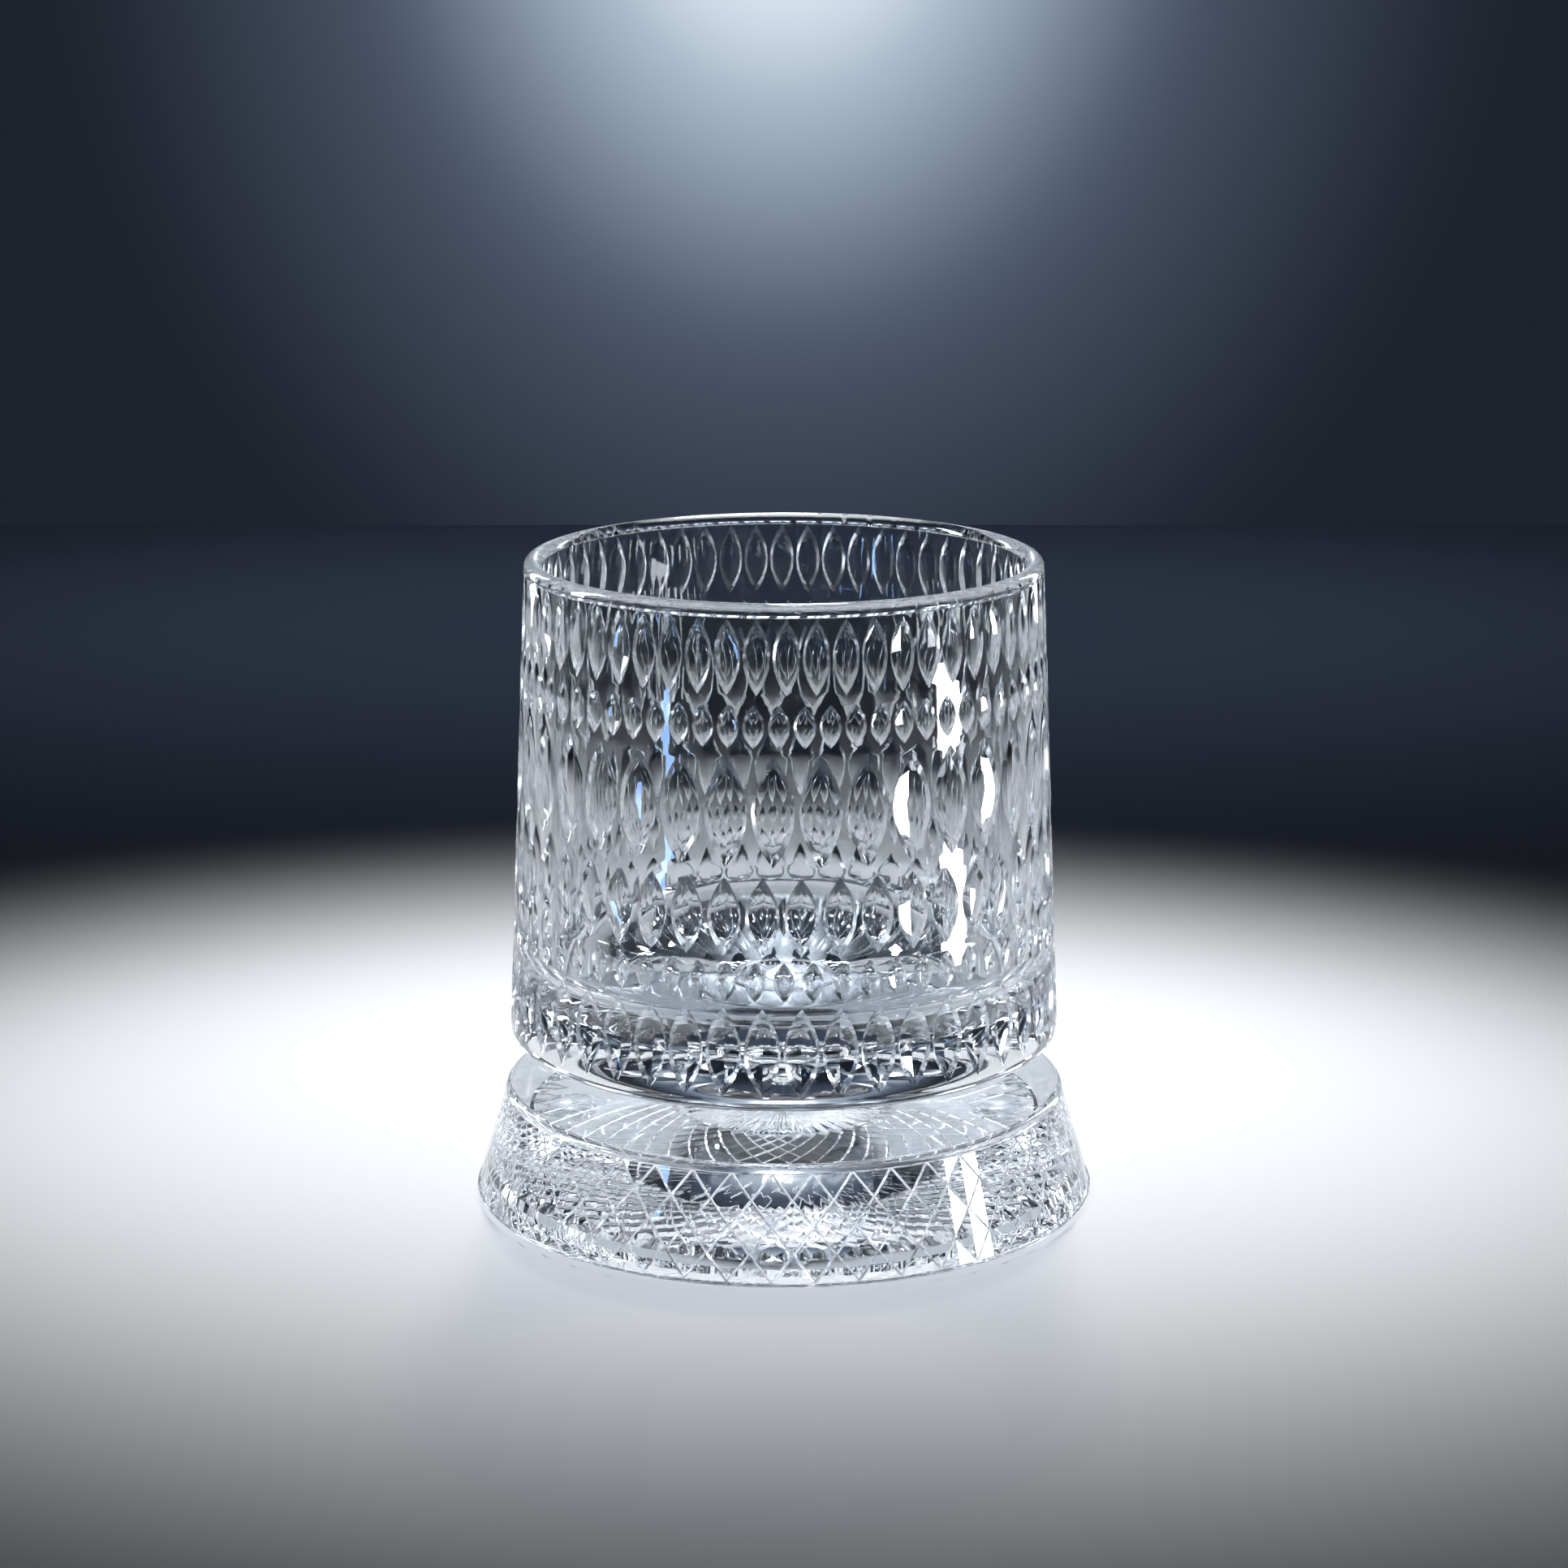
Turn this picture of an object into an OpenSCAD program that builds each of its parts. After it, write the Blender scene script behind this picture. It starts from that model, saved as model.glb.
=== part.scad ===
// Cut-glass whiskey tumbler that turns on its own cut-glass stand.
// The tumbler rests on a clear hub with a soft pad. The hub runs on a small thrust
// ball bearing whose base plate is bonded into a socket in the stand.
// Origin: centre of the footprint, +Z up. Millimetres.

/* [Tumbler] */
// Height of the tumbler from its underside to its lip
tumbler_h = 77.6; // [70:0.1:86]
// Outer radius at the lip
lip_r = 40.8; // [39:0.1:43]
// Outer radius just above the base edge
base_r = 43.9; // [42:0.1:46]
// Wall thickness at the lip
wall = 2.8; // [2.4:0.1:3.4]
// Thickness of the solid glass base
base_t = 11.6; // [9:0.1:14]
// Radius of the rounded outer base edge
base_edge_r = 2.4; // [1.5:0.1:2.6]
// Radius of the corner between floor and inner wall
floor_corner_r = 5; // [3:0.5:8]
// Draw the cuts in the tumbler and the stand
with_cuts = true; // [true, false]

/* [Stand] */
// Height of the stand's polished top above the table
stand_h = 18.3; // [16:0.1:20]
// Outer radius at the foot of the stand
stand_foot_r = 49.7; // [47:0.1:53]
// Outer radius at the top of the stand's cut side
stand_top_r = 45.05; // [43:0.05:47]
// Radius of the rounded top edge
stand_edge_r = 1.6; // [1:0.1:2]
// Number of diamonds around the stand
diamonds = 46; // [40:2:52]
// Depth of the mitre cuts at their middle
mitre_depth = 0.8; // [0.5:0.05:0.9]

/* [Bearing] */
// Clear gap between the stand's top and the tumbler
float_gap = 7.7; // [7.2:0.1:9]
// Radius of the circle that the balls run on
ball_circle_r = 9.5; // [9.3:0.1:9.8]
// Radius of one ball
ball_r = 1.5; // [1.4:0.05:1.5]
// Number of balls
ball_count = 12; // [8:1:14]
// Radius of the pivot pin
pin_r = 2; // [1.5:0.1:2.5]

/* [Feet] */
// Height that the feet stand below the glass
foot_proud = 0.4; // [0.3:0.1:1]
// Radius of one foot
foot_r = 4; // [3:0.5:5]
// Radius of the circle that the feet sit on
foot_circle_r = 34; // [30:0.5:35]

/* [Hidden] */
$fn = 128;

eps = 0.01;
running_gap = 0.05;

// Tumbler, heights from its own underside
tumbler_z = stand_h + float_gap;
lip_round = wall / 2;
wall_slope = (base_r - lip_r) / (tumbler_h - lip_round - base_edge_r);
wall_lean = atan(wall_slope);
bowl_r_top = lip_r - wall;
bowl_r_low = bowl_r_top + 0.4;
boss_r = 10;
boss_h = 1.4;
boss_gap = 0.5;

// Rows of lens cuts: height of the middle, length, width, depth, count, first angle
LENS_ROWS = [
    [69.75, 11.5, 4.1, 0.75, 58, 0.5],
    [59.35, 6.5, 3.4, 0.60, 68, -1.0],
    [46.55, 17.0, 6.6, 1.00, 37, -2.2],
    [30.50, 12.0, 5.2, 0.90, 46, 3.5],
    [20.60, 6.0, 3.3, 0.60, 62, 0.0],
    [9.60, 13.8, 5.6, 1.00, 46, 3.5],
];
front = -90;
bevel_share_w = 0.82;
bevel_share_d = 0.5;
run_out = 0.3;

// Stand
glass_foot_z = foot_proud;
punt_r = 40;
punt_h = 1.2;
foot_round = 0.9;
cut_top_z = 16.9;
cut_low_z = 1.3;
cut_mid_z = (cut_top_z + cut_low_z) / 2;
side_slope = (stand_foot_r - stand_top_r) / (cut_top_z - cut_low_z);
side_lean = atan(side_slope);
cut_mid_r = stand_foot_r - side_slope * (cut_mid_z - cut_low_z);
diamond_pitch = 360 / diamonds;
cut_sweep = 2 * diamond_pitch;
cut_rise = (cut_top_z - cut_low_z) / cos(side_lean);
cut_run = cut_mid_r * cut_sweep * PI / 180;
cut_angle = atan(cut_run / cut_rise);
cut_length = sqrt(cut_rise * cut_rise + cut_run * cut_run);
mitre_half_angle = 71;
mitre_margin = 0.1;
diamond_phase = -2.3;

// Bearing stack, from the socket's floor upwards
socket_r = 14;
socket_h = 3;
plate_r = 13.4;
film_z = stand_h - socket_h;
film_h = 0.2;
plate_z = film_z + film_h;
plate_h = 1.2;
race_in_r = 6.5;
race_out_r = 12.8;
race_h = 1.4;
groove_h = 0.4;
spigot_h = 1;
lower_race_z = plate_z + plate_h;
lower_race_top = lower_race_z + race_h;
ball_z = lower_race_top - groove_h + running_gap + ball_r;
upper_race_z = ball_z + ball_r + running_gap - groove_h;
cage_h = 1.1;
cage_in_r = 7.3;
cage_out_r = 11.7;
hub_z = upper_race_z + race_h;
pad_h = 1.4;
pad_r = 15.6;
pad_z = tumbler_z - pad_h;
hub_skirt_r = 14.6;
hub_skirt_in_r = 13.4;
hub_skirt_z = stand_h + 0.5;
hub_flange_r = 16;
hub_flange_h = 1.2;
clip_well_r = 5;
clip_well_z = pad_z - 1.4;
clip_z = clip_well_z + 0.15;
clip_h = 0.5;
clip_out_r = 3.6;
clip_neck = 0.4;
pin_top_z = pad_z - 0.3;

// Points of a circular arc in a radius and height outline
function arc(r, z, round_r, from, to, steps = 6) =
    [for (i = [0:steps]) let (a = from + (to - from) * i / steps)
        [r + round_r * cos(a), z + round_r * sin(a)]];

// Outline of the tumbler's glass: underside, outer wall, lip, inner wall, floor
function tumbler_outline() = concat(
    [[0, boss_h + boss_gap], [boss_r + boss_gap, boss_h + boss_gap], [boss_r + boss_gap, 0]],
    arc(base_r - base_edge_r, base_edge_r, base_edge_r, -90, 0),
    arc(lip_r - lip_round, tumbler_h - lip_round, lip_round, 0, 180, 8),
    arc(bowl_r_low - floor_corner_r, base_t + floor_corner_r, floor_corner_r, 0, -90),
    [[0, base_t]]);

// A length of a grinding wheel's rim with a two-slope edge. The rim meets the wall
// at x = 0 and cuts towards -x, and the cut runs along z.
module lens_cutter(length, width, depth) {
    wheel_r = length * length / (8 * depth);
    sweep = 2 * asin((length / 2 + run_out) / wheel_r);
    bevel_r = wheel_r - depth * (1 - bevel_share_d);
    bevel_w = width / 2 * bevel_share_w;
    edge_w = width / 2;
    back_r = wheel_r - depth - 0.6;
    translate([wheel_r - depth, 0, 0])
        rotate([90, 0, 0])
            rotate([0, 0, 180 - sweep / 2])
                rotate_extrude(angle = sweep, $fn = 180)
                    polygon([[back_r, -edge_w], [wheel_r - depth, -edge_w],
                        [bevel_r, -bevel_w], [wheel_r, 0], [bevel_r, bevel_w],
                        [wheel_r - depth, edge_w], [back_r, edge_w]]);
}

// Every lens cut of one row, placed on the leaning wall
module lens_row(row) {
    mid_z = row[0];
    mid_r = base_r - wall_slope * (mid_z - base_edge_r);
    for (i = [0:row[4] - 1])
        rotate([0, 0, front + row[5] + i * 360 / row[4]])
            translate([mid_r, 0, mid_z])
                rotate([0, -wall_lean, 0])
                    lens_cutter(row[1], row[2], row[3]);
}

module tumbler() {
    color([0.86, 0.90, 0.94, 0.5])
        translate([0, 0, tumbler_z])
            difference() {
                rotate_extrude()
                    polygon(tumbler_outline());
                if (with_cuts)
                    for (row = LENS_ROWS)
                        lens_row(row);
            }
}

// Outline of the stand's glass: recessed underside, foot, leaning side, top, socket
function stand_outline() = concat(
    [[0, glass_foot_z + punt_h], [punt_r, glass_foot_z + punt_h],
        [punt_r + punt_h / 2, glass_foot_z]],
    arc(stand_foot_r - foot_round, glass_foot_z + foot_round, foot_round, -90, 0, 4),
    arc(stand_top_r - stand_edge_r, stand_h - stand_edge_r, stand_edge_r, side_lean, 90),
    [[socket_r, stand_h], [socket_r, film_z], [0, film_z]]);

// One straight mitre cut across the stand's side, leaning by the given angle
module mitre_cutter(lean) {
    out_x = mitre_depth + mitre_margin;
    half_w = out_x * tan(mitre_half_angle);
    rotate([0, -side_lean, 0])
        rotate([lean, 0, 0])
            translate([-mitre_depth, 0, -cut_length / 2])
                linear_extrude(cut_length)
                    polygon([[0, 0], [out_x, -half_w], [out_x, half_w]]);
}

// Crossed mitre cuts all round the stand
module mitre_cuts() {
    for (i = [0:diamonds - 1])
        for (side = [-1, 1])
            rotate([0, 0, front + diamond_phase + i * diamond_pitch])
                translate([cut_mid_r, 0, cut_mid_z])
                    mitre_cutter(side * cut_angle);
}

module stand() {
    color([0.84, 0.88, 0.93, 0.5])
        difference() {
            rotate_extrude()
                polygon(stand_outline());
            if (with_cuts)
                mitre_cuts();
        }
}

module anti_slip_feet() {
    color([0.93, 0.94, 0.95, 0.7])
        for (a = [0:90:270])
            rotate([0, 0, a])
                translate([foot_circle_r, 0, 0])
                    cylinder(r = foot_r, h = foot_proud + punt_h);
}

module bond_film() {
    color([0.95, 0.95, 0.88, 0.6])
        translate([0, 0, film_z])
            cylinder(r = plate_r, h = film_h);
}

// Plate with a low boss that centres the lower race, bored for the pin
module base_plate() {
    color([0.92, 0.94, 0.95, 0.6])
        difference() {
            union() {
                translate([0, 0, plate_z])
                    cylinder(r = plate_r, h = plate_h);
                translate([0, 0, plate_z + plate_h - eps])
                    cylinder(r = race_in_r - running_gap, h = spigot_h + eps);
            }
            translate([0, 0, plate_z - 1])
                cylinder(r = pin_r - eps, h = plate_h + spigot_h + 2);
        }
}

module pivot_pin() {
    color("gainsboro")
        rotate_extrude()
            polygon([[0, plate_z], [pin_r, plate_z], [pin_r, clip_z - running_gap],
                [pin_r - clip_neck, clip_z - running_gap],
                [pin_r - clip_neck, clip_z + clip_h + running_gap],
                [pin_r, clip_z + clip_h + running_gap],
                [pin_r, pin_top_z - 0.2], [pin_r - 0.2, pin_top_z], [0, pin_top_z]]);
}

// Race washer with a ball groove in its top face
module race() {
    difference() {
        rotate_extrude()
            polygon([[race_in_r, 0], [race_out_r, 0], [race_out_r, race_h], [race_in_r, race_h]]);
        translate([0, 0, race_h - groove_h + ball_r + running_gap])
            rotate_extrude()
                translate([ball_circle_r, 0])
                    circle(r = ball_r + running_gap, $fn = 48);
    }
}

module lower_race() {
    color([0.88, 0.91, 0.94, 0.7])
        translate([0, 0, lower_race_z])
            race();
}

module upper_race() {
    color([0.88, 0.91, 0.94, 0.7])
        translate([0, 0, upper_race_z + race_h])
            mirror([0, 0, 1])
                race();
}

module bearing_balls() {
    color([0.90, 0.95, 0.94, 0.7])
        for (i = [0:ball_count - 1])
            rotate([0, 0, i * 360 / ball_count])
                translate([ball_circle_r, 0, ball_z])
                    sphere(r = ball_r, $fn = 48);
}

module ball_cage() {
    color("ivory")
        difference() {
            translate([0, 0, ball_z - cage_h / 2])
                rotate_extrude()
                    polygon([[cage_in_r, 0], [cage_out_r, 0], [cage_out_r, cage_h],
                        [cage_in_r, cage_h]]);
            for (i = [0:ball_count - 1])
                rotate([0, 0, i * 360 / ball_count])
                    translate([ball_circle_r, 0, ball_z - cage_h])
                        cylinder(r = ball_r + running_gap, h = 2 * cage_h, $fn = 48);
        }
}

// Turned cup: flange for the pad, skirt over the bearing, spigot for the upper race,
// bore for the pin and a well for the clip
module turntable_hub() {
    spigot_z = hub_z - spigot_h;
    color([0.92, 0.95, 0.96, 0.5])
        rotate_extrude()
            polygon([[pin_r + running_gap, spigot_z], [race_in_r - running_gap, spigot_z],
                [race_in_r - running_gap, hub_z], [hub_skirt_in_r, hub_z],
                [hub_skirt_in_r, hub_skirt_z], [hub_skirt_r, hub_skirt_z],
                [hub_skirt_r, pad_z - hub_flange_h], [hub_flange_r, pad_z - hub_flange_h],
                [hub_flange_r, pad_z], [clip_well_r, pad_z], [clip_well_r, clip_well_z],
                [pin_r + running_gap, clip_well_z]]);
}

module retaining_clip() {
    gap_half = 1.1;
    color("dimgray")
        difference() {
            translate([0, 0, clip_z])
                cylinder(r = clip_out_r, h = clip_h);
            translate([0, 0, clip_z - 1])
                cylinder(r = pin_r - clip_neck + running_gap, h = 2 + clip_h);
            translate([0, -gap_half, clip_z - 1])
                cube([clip_out_r + 1, 2 * gap_half, 2 + clip_h]);
        }
}

// Soft clear pad with a boss that centres the tumbler
module seat_pad() {
    color([0.88, 0.90, 0.92, 0.6])
        rotate_extrude()
            polygon([[0, pad_z], [pad_r, pad_z], [pad_r, tumbler_z], [boss_r, tumbler_z],
                [boss_r, tumbler_z + boss_h], [0, tumbler_z + boss_h]]);
}

tumbler();
stand();
anti_slip_feet();
bond_film();
base_plate();
pivot_pin();
lower_race();
bearing_balls();
ball_cage();
upper_race();
turntable_hub();
retaining_clip();
seat_pad();
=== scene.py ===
"""Cut-glass whiskey tumbler that spins above its own cut-glass stand.

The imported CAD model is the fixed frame. The two cut glasses and the turned hardware are
modelled here with bmesh operators, and each piece rides on the CAD body that carries it.
"""

import logging
import math
from collections.abc import Callable
from dataclasses import dataclass, field
from enum import Enum

import bmesh
import bpy
from mathutils import Matrix, Vector

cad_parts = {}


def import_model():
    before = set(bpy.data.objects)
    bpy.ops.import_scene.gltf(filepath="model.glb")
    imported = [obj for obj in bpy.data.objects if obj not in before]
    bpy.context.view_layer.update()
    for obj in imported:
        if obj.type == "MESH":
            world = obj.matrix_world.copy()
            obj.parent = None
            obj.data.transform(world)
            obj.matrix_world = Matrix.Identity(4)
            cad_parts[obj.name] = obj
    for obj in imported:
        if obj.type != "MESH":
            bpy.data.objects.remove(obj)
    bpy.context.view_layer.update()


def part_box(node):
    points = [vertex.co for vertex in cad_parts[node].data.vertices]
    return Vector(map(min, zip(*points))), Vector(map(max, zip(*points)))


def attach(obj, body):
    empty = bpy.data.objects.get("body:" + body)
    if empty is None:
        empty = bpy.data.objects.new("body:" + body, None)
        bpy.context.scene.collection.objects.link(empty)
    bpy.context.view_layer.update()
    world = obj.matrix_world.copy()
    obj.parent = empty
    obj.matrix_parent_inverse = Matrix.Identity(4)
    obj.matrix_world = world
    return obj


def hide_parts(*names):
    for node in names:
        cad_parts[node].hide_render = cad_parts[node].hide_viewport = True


LOG = logging.getLogger("tumbler")
MM = 0.001
TURN = 2 * math.pi
FRONT = -math.pi / 2
# Gap left between touching faces, in mm, so that neither shows through the other
HAIR = 0.02
# Each row of cuts is a ring of cells this much taller than its cuts
LENS_MARGIN = 1.03
# Face attribute that is 1 on the satin flanks of the cuts
SATIN = "bevel"

Outline = list[tuple[float, float]]


# ---------------------------------------------------------------- small helpers


def linear(hex_colour: str) -> tuple[float, float, float, float]:
    """Turn an sRGB hex colour into the linear colour that shaders take.

    Args:
        hex_colour: colour such as "#F4F8FC".

    Returns:
        Linear red, green and blue, with an alpha of 1.
    """
    channels = [int(hex_colour[i : i + 2], 16) / 255 for i in (1, 3, 5)]
    red, green, blue = (c / 12.92 if c <= 0.04045 else ((c + 0.055) / 1.055) ** 2.4 for c in channels)
    return red, green, blue, 1.0


def add_node(tree: bpy.types.NodeTree, kind: str, links: dict | None = None, **settings) -> bpy.types.Node:
    """Add one shader node.

    Args:
        tree: node tree to add to.
        kind: Blender's name for the node type.
        links: input name or number to the output socket, or the value, that feeds it.
        settings: properties of the node itself.

    Returns:
        The new node.
    """
    node = tree.nodes.new(kind)
    for name, value in settings.items():
        setattr(node, name, value)
    for key, value in (links or {}).items():
        if isinstance(value, bpy.types.NodeSocket):
            tree.links.new(value, node.inputs[key])
        else:
            node.inputs[key].default_value = value
    return node


def arc(r: float, z: float, radius: float, start: float, end: float, steps: int = 8) -> Outline:
    """Points of a circular arc in a radius and height outline.

    Args:
        r: radius at which the arc's centre lies, in mm.
        z: height of the arc's centre, in mm.
        radius: radius of the arc, in mm.
        start: first angle in degrees, 0 pointing outwards and 90 up.
        end: last angle in degrees.
        steps: number of chords.

    Returns:
        The arc's points in order.
    """
    angles = [math.radians(start + (end - start) * i / steps) for i in range(steps + 1)]
    return [(r + radius * math.cos(a), z + radius * math.sin(a)) for a in angles]


def join(bm: bmesh.types.BMesh, part: bmesh.types.BMesh) -> None:
    """Add one mesh to another, and free the one that was added.

    Args:
        bm: mesh to add to.
        part: mesh that is added.
    """
    scratch = bpy.data.meshes.new("scratch")
    part.to_mesh(scratch)
    part.free()
    bm.from_mesh(scratch)
    bpy.data.meshes.remove(scratch)


def lathe(bm: bmesh.types.BMesh, outline: Outline, steps: int = 96, closed: bool = False) -> None:
    """Spin an outline round the Z axis.

    Args:
        bm: mesh to add to.
        outline: radius and height of each point, in mm.
        steps: number of steps in the full turn.
        closed: whether the last point joins the first, as on a ring.
    """
    turned = bmesh.new()
    verts = [turned.verts.new((r * MM, 0.0, z * MM)) for r, z in outline]
    pairs = list(zip(verts, verts[1:]))
    if closed:
        pairs.append((verts[-1], verts[0]))
    edges = [turned.edges.new(pair) for pair in pairs]
    bmesh.ops.spin(
        turned, geom=verts + edges, cent=(0, 0, 0), axis=(0, 0, 1), angle=TURN, steps=steps, use_merge=True
    )
    bmesh.ops.remove_doubles(turned, verts=turned.verts, dist=1e-7)
    join(bm, turned)


def repeat_round(bm: bmesh.types.BMesh, count: int) -> None:
    """Copy everything in a mesh round the Z axis, evenly spaced.

    Args:
        bm: mesh that holds the first copy.
        count: number of copies in all.
    """
    bmesh.ops.spin(
        bm,
        geom=[*bm.verts, *bm.edges, *bm.faces],
        cent=(0, 0, 0),
        axis=(0, 0, 1),
        angle=TURN * (count - 1) / count,
        steps=count - 1,
        use_duplicate=True,
    )


def edges_at(
    bm: bmesh.types.BMesh,
    height: float,
    tolerance: float = 0.02,
    inner: float = 0.0,
    outer: float = 1000.0,
) -> list[bmesh.types.BMEdge]:
    """Open edges whose two ends lie at one height.

    Args:
        bm: mesh to look in.
        height: height in mm.
        tolerance: how far off the height an end may lie, in mm.
        inner: smallest radius of an end, in mm.
        outer: largest radius of an end, in mm.

    Returns:
        The boundary edges at that height.
    """

    def fits(vert: bmesh.types.BMVert) -> bool:
        """Whether a vertex lies at the height and between the radii."""
        radius = math.hypot(vert.co.x, vert.co.y) / MM
        return abs(vert.co.z / MM - height) < tolerance and inner < radius < outer

    return [e for e in bm.edges if e.is_boundary and all(fits(v) for v in e.verts)]


def soften(bm: bmesh.types.BMesh, width: float, segments: int = 2, angle: float = 35.0) -> None:
    """Round the sharp edges of a turned part, as a file or a tumbler drum does.

    Args:
        bm: closed mesh to work on.
        width: width of the rounding, in mm.
        segments: number of strips across it.
        angle: edges that turn by more than this many degrees are rounded.
    """
    sharp = [e for e in bm.edges if e.is_manifold and e.calc_face_angle(0.0) > math.radians(angle)]
    bmesh.ops.bevel(
        bm,
        geom=sharp,
        offset=width * MM,
        segments=segments,
        affect="EDGES",
        profile=0.5,
        material=-1,
        clamp_overlap=True,
    )


def finished_object(bm: bmesh.types.BMesh, name: str, sharp_angle: float | None = 30.0) -> bpy.types.Object:
    """Close a mesh's seams and make it an object at the origin.

    Args:
        bm: mesh in metres, in the frame's own coordinates. It is freed.
        name: name of the piece.
        sharp_angle: edges that turn by more than this many degrees stay crisp, or None to
            keep the edges that are marked already.

    Returns:
        The object, linked into the scene.
    """
    bmesh.ops.remove_doubles(bm, verts=bm.verts, dist=1e-7)
    bmesh.ops.recalc_face_normals(bm, faces=bm.faces)
    for face in bm.faces:
        face.smooth = True
    if sharp_angle is not None:
        for edge in bm.edges:
            edge.smooth = edge.calc_face_angle(0.0) < math.radians(sharp_angle)
    open_edges = sum(not e.is_manifold for e in bm.edges)
    mesh = bpy.data.meshes.new(name)
    bm.to_mesh(mesh)
    bm.free()
    piece = bpy.data.objects.new(name, mesh)
    bpy.context.scene.collection.objects.link(piece)
    LOG.info("%s: %d faces, %d open edges", name, len(mesh.polygons), open_edges)
    return piece


# ---------------------------------------------------------------- finishes


def let_lamps_through(tree: bpy.types.NodeTree, shader: bpy.types.Node, colour: str) -> None:
    """Let the lamps' rays pass a clear material, dimmed, so that it throws a light shadow.

    Args:
        tree: the material's nodes.
        shader: the clear shader that everything else sees.
        colour: what one surface lets through.
    """
    rays = add_node(tree, "ShaderNodeLightPath")
    passed = add_node(tree, "ShaderNodeBsdfTransparent", {"Color": linear(colour)})
    mix = add_node(
        tree,
        "ShaderNodeMixShader",
        {0: rays.outputs["Is Shadow Ray"], 1: shader.outputs[0], 2: passed.outputs[0]},
    )
    tree.links.new(mix.outputs[0], tree.nodes["Material Output"].inputs["Surface"])


@dataclass(frozen=True)
class CutCrystal:
    """Lead-free crystal, pressed, cut and acid polished.

    The eye gets hard, clear refraction with a faint ripple from fire polishing, and a thin
    satin line round each cut, where the wheel's edge left the glass less polished.
    """

    tint: str = "#DEE1E3"
    ior: float = 1.52
    polished: float = 0.0
    ground: float = 0.17
    shadow: str = "#FAFBFC"
    ripple_mm: float = 7.0
    ripple_height_mm: float = 0.012

    def material(self, name: str) -> bpy.types.Material:
        """Make the crystal's material.

        Args:
            name: name of the material.

        Returns:
            The material.
        """
        mat = bpy.data.materials.new(name)
        mat.use_nodes = True
        tree = mat.node_tree
        shader = tree.nodes["Principled BSDF"]
        place = add_node(tree, "ShaderNodeTexCoord")
        ripple = add_node(
            tree,
            "ShaderNodeTexNoise",
            {"Vector": place.outputs["Object"], "Scale": 1 / (self.ripple_mm * MM), "Detail": 1.0},
        )
        bump = add_node(
            tree,
            "ShaderNodeBump",
            {"Height": ripple.outputs[0], "Distance": self.ripple_height_mm * MM, "Strength": 1.0},
        )
        bevel = add_node(tree, "ShaderNodeAttribute", attribute_name=SATIN)
        rough = add_node(
            tree,
            "ShaderNodeMapRange",
            {"Value": bevel.outputs["Fac"], "To Min": self.polished, "To Max": self.ground},
        )
        shader.inputs["Base Color"].default_value = linear(self.tint)
        shader.inputs["Transmission Weight"].default_value = 1.0
        shader.inputs["IOR"].default_value = self.ior
        tree.links.new(rough.outputs["Result"], shader.inputs["Roughness"])
        tree.links.new(bump.outputs["Normal"], shader.inputs["Normal"])
        let_lamps_through(tree, shader, self.shadow)
        return mat


@dataclass(frozen=True)
class TurnedMetal:
    """Metal turned or ground on a lathe: fine rings that stretch the highlights."""

    colour: str
    roughness: float
    ring_mm: float = 0.25
    ring_depth_mm: float = 0.004
    worn: float = 0.08
    worn_mm: float = 3.0

    def material(self, name: str) -> bpy.types.Material:
        """Make the metal's material.

        Args:
            name: name of the material.

        Returns:
            The material.
        """
        mat = bpy.data.materials.new(name)
        mat.use_nodes = True
        tree = mat.node_tree
        shader = tree.nodes["Principled BSDF"]
        place = add_node(tree, "ShaderNodeTexCoord")
        rings = add_node(
            tree,
            "ShaderNodeTexWave",
            {"Vector": place.outputs["Object"], "Scale": 0.314 / (self.ring_mm * MM), "Distortion": 0.6},
            wave_type="RINGS",
            rings_direction="Z",
        )
        bump = add_node(
            tree,
            "ShaderNodeBump",
            {"Height": rings.outputs["Fac"], "Distance": self.ring_depth_mm * MM, "Strength": 0.6},
        )
        patches = add_node(
            tree,
            "ShaderNodeTexNoise",
            {"Vector": place.outputs["Object"], "Scale": 1 / (self.worn_mm * MM), "Detail": 4.0},
        )
        rough = add_node(
            tree,
            "ShaderNodeMapRange",
            {
                "Value": patches.outputs[0],
                "To Min": self.roughness - self.worn / 2,
                "To Max": self.roughness + self.worn / 2,
            },
        )
        shader.inputs["Base Color"].default_value = linear(self.colour)
        shader.inputs["Metallic"].default_value = 1.0
        tree.links.new(rough.outputs["Result"], shader.inputs["Roughness"])
        tree.links.new(bump.outputs["Normal"], shader.inputs["Normal"])
        return mat


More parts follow.
